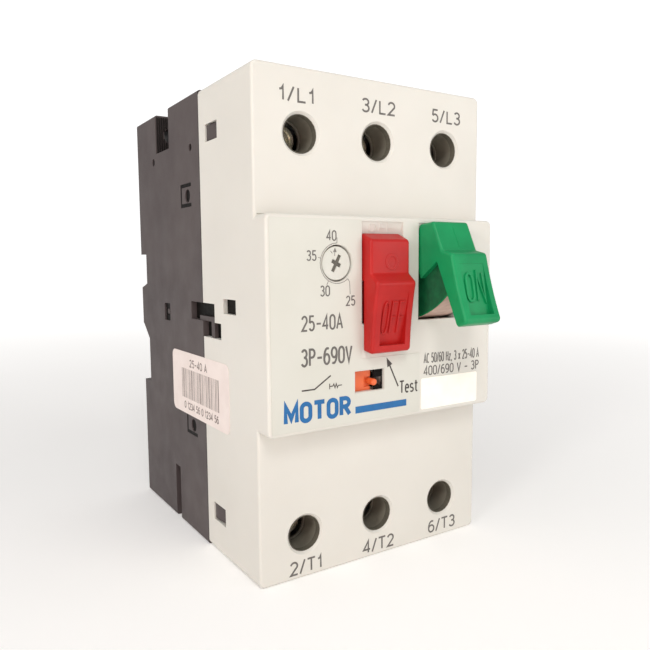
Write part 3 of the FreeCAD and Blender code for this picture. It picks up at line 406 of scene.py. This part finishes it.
def leftPlane(x):
    # flat drawing read from the left side: across is towards the front, up is up
    return Matrix(((0, 0, -mm, x * mm), (-mm, 0, 0, 0), (0, mm, 0, 0), (0, 0, 0, 1)))


def printOn(name, polygons, plane, finish, slot, body="housing", thickness=0.03, chamfer=0):
    bm = inkPlate(polygons, thickness, chamfer)
    bmesh.ops.transform(bm, matrix=plane, verts=bm.verts)
    return addPiece(name, bm, finish, body)


def rectangle(x0, x1, z0, z1):
    return [Vector(corner) for corner in ((x0, z0), (x1, z0), (x1, z1), (x0, z1))]


filmFace = -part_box("rating_label")[0].y / mm
mainFace = 74.54
noseFace = 79.45
terminalMarks = {
    "stroke": 0.42,
    "1/L1": (-25.1, -16.3, 47.0, 50.1),
    "3/L2": (-4.5, 5.0, 47.0, 50.1),
    "5/L3": (15.7, 25.0, 47.0, 50.1),
    "2/T1": (-23.9, -15.4, -53.3, -50.1),
    "4/T2": (-4.4, 4.9, -53.3, -50.1),
    "6/T3": (15.6, 24.8, -53.0, -49.8),
}
for index, (text, box) in enumerate(list(terminalMarks.items())[1:]):
    polygons = textPolygons(text, box, terminalMarks["stroke"])
    printOn(f"terminal_mark_{index + 1}", polygons, frontPlane(mainFace), "grey_ink", "cream_housing")

dialScale = {
    "centre": (-14.4, 14.3),
    "radius": 4.2,
    "sweep": (91, 309),
    "leads": [
        [(-14.45, 18.4), (-14.4, 19.6)],
        [(-19.1, 15.55), (-18.5, 15.4)],
        [(-17.0, 9.9), (-16.6, 10.7)],
        [(-11.75, 11.05), (-11.3, 10.4), (-11.15, 7.8)],
    ],
    "line": 0.13,
    "stroke": 0.28,
    "40": (-17.1, -14.5, 18.9, 21.1),
    "35": (-21.9, -19.4, 14.8, 17.0),
    "30": (-18.7, -16.2, 7.5, 9.8),
    "25": (-12.3, -9.8, 5.3, 7.5),
}
dialRing = arc(*dialScale["centre"], dialScale["radius"], dialScale["radius"], *dialScale["sweep"])
polygons = [face for line in [dialRing, *dialScale["leads"]] for face in strokeFaces(line, dialScale["line"])]
printOn("dial_ring_line", polygons, frontPlane(filmFace), "fine_ink", "film_label")
for text in ("40", "35", "30", "25"):
    polygons = textPolygons(text, dialScale[text], dialScale["stroke"])
    printOn(f"dial_number_{text}", polygons, frontPlane(filmFace), "grey_ink", "film_label")

dialMarks = {
    "depth": 78.95,
    "slots": [[(-0.95, -1.7), (0.9, 1.75)], [(-0.9, 0.45), (1.05, -0.6)]],
    "slotWidth": 0.78,
    "arrow": [(-0.8, 2.3), (0.1, 2.3), (-0.33, 3.2)],
    "whisker": [[(-1.4, 2.55), (-0.95, 2.05)], [(-0.35, 2.4), (-0.38, 1.5)]],
    "whiskerWidth": 0.16,
    "arrowThickness": 0.015,
}
centre = Vector(dialScale["centre"])
# painted shade: dark plates just above the floors of the dial's cross slots
polygons = [face for line in dialMarks["slots"]
            for face in strokeFaces([centre + Vector(spot) for spot in line], dialMarks["slotWidth"])]
printOn("dial_slot_shade", polygons, frontPlane(dialMarks["depth"]), "slot_shade", "cream_dial",
        body="setting_dial")
polygons = [[centre + Vector(spot) for spot in dialMarks["arrow"]]]
for line in dialMarks["whisker"]:
    polygons += strokeFaces([centre + Vector(spot) for spot in line], dialMarks["whiskerWidth"])
dialFace = -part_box("setting_dial")[0].y / mm
printOn("dial_arrow", polygons, frontPlane(dialFace), "fine_ink", "cream_dial", body="setting_dial",
        thickness=dialMarks["arrowThickness"])

# dark liners in the six screw holes, a little below the front face
liner = {
    "radius": 3.91, "wall": 0.1, "rear": 72.6, "length": 1.5,
    "columns": (-19.8, 0, 19.8), "rows": (40.9, -44.5),
}
rings = [face for x in liner["columns"] for z in liner["rows"]
         for face in strokeFaces(arc(x, z, liner["radius"], liner["radius"], 0, 360), liner["wall"])]
printOn("access_liners", rings, frontPlane(liner["rear"]), "hole_liner", "grey_insulator",
        thickness=liner["length"])

# painted shadow: a thin dark line where the nose's upper side meets the front face
edgeShadow = {"box": (-30.3, 30.3, 24.2, 24.42), "thickness": 0.02}
printOn("nose_edge_shadow", [rectangle(*edgeShadow["box"])], frontPlane(mainFace), "painted_edge_shadow", "cream_housing",
        thickness=edgeShadow["thickness"])

# painted shade: a dark lining at the right end of the slider's window, clear of the peg's way, for the shade
# in the gap there
sliderShade = {
    "depth": 78.6,
    "thickness": 0.3,
    "chamfer": 0.05,
    "boxes": [(-4.5, -2.12, -13.5, -12.6), (-4.5, -2.12, -10.8, -9.0), (-2.35, -2.12, -13.5, -9.0)],
}
printOn("slider_window_shade", [rectangle(*box) for box in sliderShade["boxes"]], frontPlane(sliderShade["depth"]),
        "dark_joint_and_shade", "cream_housing", thickness=sliderShade["thickness"], chamfer=sliderShade["chamfer"])

faceMarks = {
    "range_mark": ("25-40A", (-23.3, -13.0, 0.5, 3.8), 0.4, "grey_ink"),
    "rating_mark": ("3P-690V", (-23.5, -10.6, -6.8, -3.0), 0.48, "grey_ink"),
    "test_mark": ("Test", (2.2, 7.8, -15.2, -12.2), 0.36, "black_ink"),
    "supply_mark": ("AC 50/60 Hz, 3 x 25-40 A", (9.5, 27.4, -9.0, -6.6), 0.26, "grey_ink"),
    "voltage_mark": ("400/690 V - 3P", (9.5, 27.4, -11.9, -9.6), 0.28, "grey_ink"),
    "word_mark": ("MOTOR", (-27.8, -10.9, -18.4, -13.9), 0.95, "blue_ink"),
}
filmRight = 8.3
for name, (text, box, stroke, ink) in faceMarks.items():
    # marks to the right of the film are printed on the nose itself
    depth = filmFace if box[1] < filmRight else noseFace
    printOn(name, textPolygons(text, box, stroke), frontPlane(depth), ink, "film_label")
blueBar = (-9.9, 4.3, -18.1, -16.6)
printOn("blue_bar", [rectangle(*blueBar)], frontPlane(filmFace), "blue_ink", "film_label")

switchSign = {
    "line": 0.3,
    "thinLine": 0.2,
    "blade": [(-23.3, -11.6), (-20.2, -11.6), (-16.2, -9.1)],
    "trip": [
        (-15.7, -11.4), (-15.45, -10.95), (-15.15, -11.85),
        (-14.85, -10.95), (-14.55, -11.85), (-14.3, -11.4),
    ],
    "ticks": [
        [(-16.5, -12.0), (-16.5, -10.8)], [(-16.5, -11.4), (-15.7, -11.4)], [(-14.3, -11.4), (-13.4, -11.4)],
    ],
}
polygons = strokeFaces(switchSign["blade"], switchSign["line"])
for line in [switchSign["trip"], *switchSign["ticks"]]:
    polygons += strokeFaces(line, switchSign["thinLine"])
printOn("switch_sign", polygons, frontPlane(filmFace), "black_ink", "film_label")

testArrow = {
    "tail": (1.9, -13.4), "tip": (-1.4, -6.6), "line": 0.34,
    "headLength": 2.1, "headWidth": 1.5, "overlap": 0.3,
}
tail, tip = Vector(testArrow["tail"]), Vector(testArrow["tip"])
way = (tip - tail).normalized()
across = Vector((-way.y, way.x)) * testArrow["headWidth"] / 2
neck = tip - way * testArrow["headLength"]
polygons = strokeFaces([tail, neck + way * testArrow["overlap"]], testArrow["line"])
polygons.append([neck - across, tip, neck + across])
printOn("test_arrow", polygons, frontPlane(filmFace), "black_ink", "film_label")
print("front face printed")

sideLabel = {
    "front": 55.6,
    "rear": 31.8,
    "low": -19.9,
    "high": -12.3,
    "bars": 30,
    "barShares": (0.3, 0.85, 0.42, 0.2, 0.6, 0.75, 0.35),
    "stroke": 0.3,
    "thickness": 0.02,
    "topText": ("25-40 A", (37.2, 48.6, -11.6, -9.6)),
    "lowText": ("0 1234 56 0 1234 56", (33.0, 55.0, -22.7, -20.8)),
}
pitch = (sideLabel["front"] - sideLabel["rear"]) / sideLabel["bars"]
bars = []
for index in range(sideLabel["bars"]):
    start = sideLabel["rear"] + index * pitch
    shares = sideLabel["barShares"]
    width = pitch * shares[(3 * index * index + index) % len(shares)]
    bars.append(rectangle(start, start + width, sideLabel["low"], sideLabel["high"]))
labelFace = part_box("side_label")[0].x / mm
printOn("side_label_bars", bars, leftPlane(labelFace), "bar_ink", "paper_label",
        thickness=sideLabel["thickness"])
for name in ("topText", "lowText"):
    text, box = sideLabel[name]
    pieceName = "side_label_" + ("top" if name == "topText" else "low")
    printOn(pieceName, textPolygons(text, box, sideLabel["stroke"]), leftPlane(labelFace), "bar_ink",
            "paper_label", thickness=sideLabel["thickness"])
print("side label printed")

buttons = {
    "pivot": Vector((0, -71.4 * mm, 24.2 * mm)),
    "rock": -25.2,
    "drop": -1.03,
    "pocketTop": (84.1, 8.0),
    "pocketFoot": (81.4, -3.4),
    "blockFace": 82.2,
    "wallRadius": 7.9,
    "offX": -2.35,
    "onX": 13.45,
}


def pocketPlane(x):
    # a drawing on the sloping floor of a button's pocket; up is along the floor, zero at its foot
    top, foot = Vector(buttons["pocketTop"]), Vector(buttons["pocketFoot"])
    up = (top - foot).normalized()
    return Matrix((
        (mm, 0, 0, x * mm),
        (0, -up.x * mm, -up.y * mm, -foot.x * mm),
        (0, up.y * mm, -up.x * mm, foot.y * mm),
        (0, 0, 0, 1),
    ))


def rockedOut():
    # from the pressed place to where the released button stands
    pivot = buttons["pivot"]
    turn = Matrix.Rotation(radians(buttons["rock"]), 4, "X")
    drop = Matrix.Translation((0, 0, buttons["drop"] * mm))
    return Matrix.Translation(pivot) @ turn @ Matrix.Translation(-pivot) @ drop


raised = {
    "chamfer": 0.1,
    "off_letters": ("OFF", (-3.0, 2.9, 2.5, 9.9), 0.36, 0.34),
    "on_letters": ("ON", (-2.95, 2.95, 3.2, 9.8), 0.55, 0.45),
}
text, box, stroke, height = raised["off_letters"]
printOn("off_letters", textPolygons(text, box, stroke), pocketPlane(buttons["offX"]), "red_button",
        "red_button", body="off_button", thickness=height, chamfer=raised["chamfer"])
text, box, stroke, height = raised["on_letters"]
printOn("on_letters", textPolygons(text, box, stroke), rockedOut() @ pocketPlane(buttons["onX"]),
        "green_button", "green_button", body="on_button", thickness=height, chamfer=raised["chamfer"])
offRing = {"aside": 0.3, "height": 14.5, "radius": 1.45, "stroke": 0.65, "thickness": 0.12, "chamfer": 0.06}
circle = arc(
    buttons["offX"] + offRing["aside"], offRing["height"], offRing["radius"], offRing["radius"], 0, 360,
)
printOn("off_ring", strokeFaces(circle, offRing["stroke"]), frontPlane(buttons["blockFace"]), "red_button",
        "red_button", body="off_button", thickness=offRing["thickness"], chamfer=offRing["chamfer"])
onLine = {"aside": 0.2, "low": 12.9, "high": 17.9, "stroke": 0.3, "thickness": 0.1, "chamfer": 0.05}
ends = [(buttons["onX"] + onLine["aside"], height) for height in (onLine["low"], onLine["high"])]
printOn("on_line", strokeFaces(ends, onLine["stroke"]), rockedOut() @ frontPlane(buttons["blockFace"]),
        "green_button", "green_button", body="on_button", thickness=onLine["thickness"],
        chamfer=onLine["chamfer"])

# the word moulded on the curved wall above the OFF button
wallMark = {"text": "OFF", "box": (-3.6, 3.2, -3.35, -1.3), "stroke": 0.26, "thickness": 0.1}
wallText = textPolygons(wallMark["text"], wallMark["box"], wallMark["stroke"])
wallWord = inkPlate(wallText, wallMark["thickness"])
wallCentre = buttons["pivot"] / mm
for vert in wallWord.verts:
    turn = -vert.co.y / buttons["wallRadius"]
    reach = buttons["wallRadius"] + vert.co.z
    spot = (buttons["offX"] + vert.co.x, wallCentre.y - reach * cos(turn), wallCentre.z - reach * sin(turn))
    vert.co = Vector(spot) * mm
addPiece("wall_word", wallWord, "cream_housing", "housing")
print("letters raised on the buttons")


# painted shade: a pinkish strip on the curved foot of the ON button, seen while the button stands out, in the
# shaded cream tone of the wall inside the opening
footShadeStrip = {"radius": 23.34, "thickness": 0.08, "halfWidth": 4.0, "start": 70.5, "end": 101.5, "steps": 24}


def curvedStrip(values, x):
    # a flat section swept about the pivot
    turn = radians(values["start"])
    section = []
    for side, reach in ((-1, 0), (1, 0), (1, values["thickness"]), (-1, values["thickness"])):
        reach = (reach + values["radius"]) * mm
        across = (x + side * values["halfWidth"]) * mm
        pivot = buttons["pivot"]
        section.append((across, pivot.y - reach * cos(turn), pivot.z - reach * sin(turn)))
    bm = bmesh.new()
    bm.faces.new([bm.verts.new(corner) for corner in section])
    bmesh.ops.spin(
        bm, geom=bm.verts[:] + bm.edges[:] + bm.faces[:], cent=buttons["pivot"], axis=(1, 0, 0),
        angle=radians(values["end"] - values["start"]), steps=values["steps"],
    )
    bmesh.ops.holes_fill(bm, edges=bm.edges[:])
    bmesh.ops.recalc_face_normals(bm, faces=bm.faces)
    return bm


strip = curvedStrip(footShadeStrip, buttons["onX"])
toPivot = Matrix.Translation(buttons["pivot"])
turned = toPivot @ Matrix.Rotation(radians(buttons["rock"]), 4, "X") @ toPivot.inverted()
bmesh.ops.transform(strip, matrix=turned, verts=strip.verts)
addPiece("on_foot_shade_strip", strip, "shaded_cream_strip", "on_button")

# painted shade: darker green sheets on both sides of the ON button's foot, for the shadow on the sides of its
# core
cheek = {
    "radius": 23.26,
    "sweep": (68, 102),
    "upperCorners": [(66.66, 11), (73.9, 14), (80.25, 14)],
    "gap": 0.05,
    "thickness": 0.03,
}
foot = arc(buttons["pivot"].y / -mm, 0, cheek["radius"], cheek["radius"], *cheek["sweep"])
outline = [Vector((depth, buttons["pivot"].z / mm - drop)) for depth, drop in foot]
outline += [Vector(corner) for corner in cheek["upperCorners"]]
cheekHalf = footShadeStrip["halfWidth"] + cheek["gap"]
for name, x in (("on_cheek_left", buttons["onX"] - cheekHalf - cheek["thickness"]),
                ("on_cheek_right", buttons["onX"] + cheekHalf)):
    printOn(name, [outline[::-1]], turned @ leftPlane(x), "green_painted_shade", "green_button", body="on_button",
            thickness=cheek["thickness"])


# painted shade: dark plates a little below the side face, behind its windows, grooves and marks, for the
# shade deep inside them
def markBoxes(low, high):
    rear, front, line = 34.25, 41.25, 0.8
    return [(rear, rear + line, low, high), (rear, front, high - line, high), (rear, front, low, low + line)]


def ovalPlate(depth, height, radius):
    return [Vector(spot) for spot in arc(depth, height, radius, radius, 0, 345)]


sideShadePlates = {
    "window_plate": ("dark_joint_and_shade", -29.9, [(58.85, 65.25, 3.35, 6.55)]),
    "accessory_plate": ("dark_joint_and_shade", -29.5, [(39.45, 53.75, 2.05, 5.15), (39.45, 43.65, 0.95, 2.05),
                                            (46.85, 50.65, -2.75, 0.85), (52.55, 57.25, -2.75, 0.85)]),
    "pivot_mark_plate": ("dark_joint_and_shade", -30.45, [(19.55, 20.75, -0.75, 3.8), (22.45, 23.75, -0.75, 3.8),
                                              (20.75, 22.45, -0.75, 0.75), (20.75, 22.45, 2.45, 3.8)]),
    "upper_mark_plate": ("dark_joint_and_shade", -30.85, markBoxes(28.25, 33.85)),
    "lower_mark_plate": ("dark_joint_and_shade", -30.85, markBoxes(-28.85, -23.25)),
}
plateShape = {"thickness": 0.1, "chamfer": 0.03}
for name, (finish, x, boxes) in sideShadePlates.items():
    printOn(name, [rectangle(*box) for box in boxes], leftPlane(x), finish, "dark_housing", **plateShape)
# painted shade: dark discs a little below the side face, in its round holes
holeSide = -30.6
sideHoleShades = {"upper_mark_hole": (38.9, 30.85, 1.55), "lower_mark_hole": (38.9, -26.25, 1.55),
             "rear_side_hole": (14.0, 42.0, 0.95), "front_side_hole": (41.4, 42.1, 0.85)}
for name, place in sideHoleShades.items():
    printOn(name, [ovalPlate(*place)], leftPlane(holeSide), "dark_joint_and_shade", "dark_housing", **plateShape)

# fine ribs inside the upper left corner notch, clear of the mounting hole; their dark colour is painted shade
# deep in the notch
ribs = {
    "left": -30.7, "right": -22.1, "low": 44.1, "high": 53.8, "pitch": 0.62, "width": 0.4, "depth": 16.4,
    "thickness": 0.3, "chamfer": 0.08,
}
hole = {"x": -26.4, "z": 49.15, "radius": 2.45}
bars = []
for index in range(int((ribs["right"] - ribs["left"]) / ribs["pitch"])):
    left = ribs["left"] + index * ribs["pitch"]
    aside = abs(left + ribs["width"] / 2 - hole["x"])
    if aside < hole["radius"]:
        reach = (hole["radius"] ** 2 - aside ** 2) ** 0.5
        bars.append(rectangle(left, left + ribs["width"], ribs["low"], hole["z"] - reach))
        bars.append(rectangle(left, left + ribs["width"], hole["z"] + reach, ribs["high"]))
    else:
        bars.append(rectangle(left, left + ribs["width"], ribs["low"], ribs["high"]))
printOn("notch_ribs", bars, frontPlane(ribs["depth"]), "rib_shade", "dark_housing",
        thickness=ribs["thickness"], chamfer=ribs["chamfer"])

# dark line along the parting between base and cover, on the left side
parting = {"side": -31, "depth": 47.1, "line": 0.22, "spans": ((-54.0, -3.2), (5.6, 54.0)), "thickness": 0.02}
lines = [rectangle(parting["depth"] - parting["line"], parting["depth"], *span) for span in parting["spans"]]
printOn("parting_line", lines, leftPlane(parting["side"]), "dark_joint_and_shade", "dark_housing",
        thickness=parting["thickness"])


def addLight(name, values):
    lamp = bpy.data.lights.new(name, "AREA")
    lamp.shape = "DISK"
    lamp.size = values["size"]
    lamp.energy = values["power"]
    lamp.color = values["colour"]
    light = bpy.data.objects.new(name, lamp)
    bpy.context.scene.collection.objects.link(light)
    light.location = values["at"]
    light.rotation_euler = (Vector(values["aim"]) - light.location).to_track_quat("-Z", "Y").to_euler()


lights = {
    "key": dict(at=(-0.22, -0.5, 0.48), aim=(0, -0.04, 0.02), size=0.22, power=1.5, colour=(1, 0.992, 0.97)),
    "low": dict(at=(-0.26, -0.34, -0.02), aim=(0, -0.05, -0.05), size=0.12, power=0.12, colour=(1, 0.5, 0.4)),
    "edge": dict(at=(-0.89, -0.455, 0.22), aim=(0, -0.04, 0), size=0.22, power=2.4, colour=(1, 0.97, 0.94)),
    "front": dict(at=(0.45, -0.8, 0.15), aim=(0, -0.04, 0), size=0.4, power=1.2, colour=(1, 0.985, 0.96)),
}
for name, values in lights.items():
    addLight(name, values)

sky = {"colour": (1, 0.985, 0.97, 1), "strength": 0.56, "backdrop": 1.1}
world = bpy.data.worlds.new("soft_sky")
world.use_nodes = True
skyNodes, skyLink = world.node_tree.nodes, world.node_tree.links.new
soft = skyNodes["Background"]
soft.inputs["Color"].default_value = sky["colour"]
soft.inputs["Strength"].default_value = sky["strength"]
backdrop = skyNodes.new("ShaderNodeBackground")
backdrop.inputs["Color"].default_value = (1, 1, 1, 1)
backdrop.inputs["Strength"].default_value = sky["backdrop"]
seen = skyNodes.new("ShaderNodeLightPath")
choice = skyNodes.new("ShaderNodeMixShader")
skyLink(seen.outputs["Is Camera Ray"], choice.inputs["Fac"])
skyLink(soft.outputs["Background"], choice.inputs[1])
skyLink(backdrop.outputs["Background"], choice.inputs[2])
skyLink(choice.outputs["Shader"], skyNodes["World Output"].inputs["Surface"])
bpy.context.scene.world = world

floor = {"radius": 8, "gap": 0.05, "fade": (0.1, 0.6), "glow": (0.1, 0.5)}
bm = bmesh.new()
bmesh.ops.create_circle(bm, cap_ends=True, segments=64, radius=floor["radius"])
bmesh.ops.translate(bm, verts=bm.verts, vec=(0, 0, cadBox[0].z - floor["gap"] * mm))
mesh = bpy.data.meshes.new("floor")
bm.to_mesh(mesh)
bm.free()
paint = makeFinish("floor_paint", dict(
    light=(252, 251, 250), deep=(250, 249, 248), mottleScale=6, glossScale=20, roughness=(0.7, 0.8),
    relief=[(300, 0.1, 0.05), (40, 0.05, 0.2)], specular=0.2,
))
floorNodes, floorLink = paint.node_tree.nodes, paint.node_tree.links.new
spot = floorNodes.new("ShaderNodeTexCoord")
distance = floorNodes.new("ShaderNodeVectorMath")
distance.operation = "LENGTH"
floorLink(spot.outputs["Object"], distance.inputs[0])
fade = floorNodes.new("ShaderNodeMapRange")
fade.inputs["From Min"].default_value, fade.inputs["From Max"].default_value = floor["fade"]
fade.inputs["To Min"].default_value, fade.inputs["To Max"].default_value = floor["glow"]
floorLink(distance.outputs["Value"], fade.inputs["Value"])
floorLink(fade.outputs["Result"], floorNodes["Principled BSDF"].inputs["Emission Strength"])
floorNodes["Principled BSDF"].inputs["Emission Color"].default_value = (1, 1, 1, 1)
mesh.materials.append(paint)
ground = bpy.data.objects.new("floor", mesh)
bpy.context.scene.collection.objects.link(ground)

viewpoint = {"at": (-0.089369, -0.191687, 0.014757), "turn": (84.365, 0.457, -32.695), "lens": 35.82}
camera = bpy.data.objects.new("camera", bpy.data.cameras.new("camera"))
bpy.context.scene.collection.objects.link(camera)
camera.location = viewpoint["at"]
camera.rotation_euler = [radians(angle) for angle in viewpoint["turn"]]
camera.data.lens = viewpoint["lens"]
camera.data.sensor_width = 36
camera.data.clip_start = 0.01
bpy.context.scene.camera = camera
bpy.context.scene.view_settings.view_transform = "Standard"
print("camera, floor and lights set")
